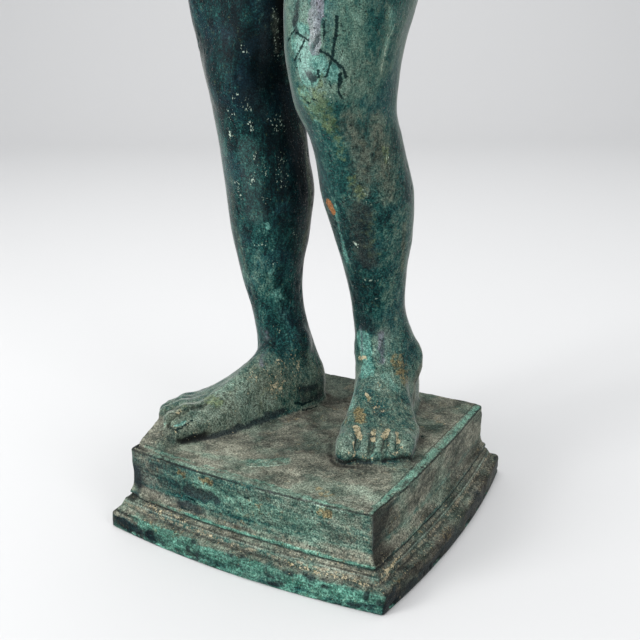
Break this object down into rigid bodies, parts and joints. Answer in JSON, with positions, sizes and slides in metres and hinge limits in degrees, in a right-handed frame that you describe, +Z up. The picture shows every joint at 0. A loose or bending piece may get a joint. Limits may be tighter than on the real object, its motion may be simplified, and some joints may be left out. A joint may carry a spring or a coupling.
{
  "type": "bronze torso sculpture on a plinth",
  "caption": "Standing youth in green patinated cast bronze, without head and lower arms, one casting with its square stepped plinth.",
  "frame": {"origin": "centre of the plinth's underside", "axes": "+Z up, -Y the way the figure faces, +X the figure's own left"},
  "size_m": [0.2193, 0.1822, 0.692],
  "materials": {
    "patinated_bronze": "cast bronze under a blue-green patina, dark on the shaded sides, turquoise on the plinth, with pale dirt in the hollows and a satin gloss on the knees"
  },
  "bodies": {
    "root": {"bronze_figure_with_plinth": "patinated_bronze"}
  },
  "joints": []
}
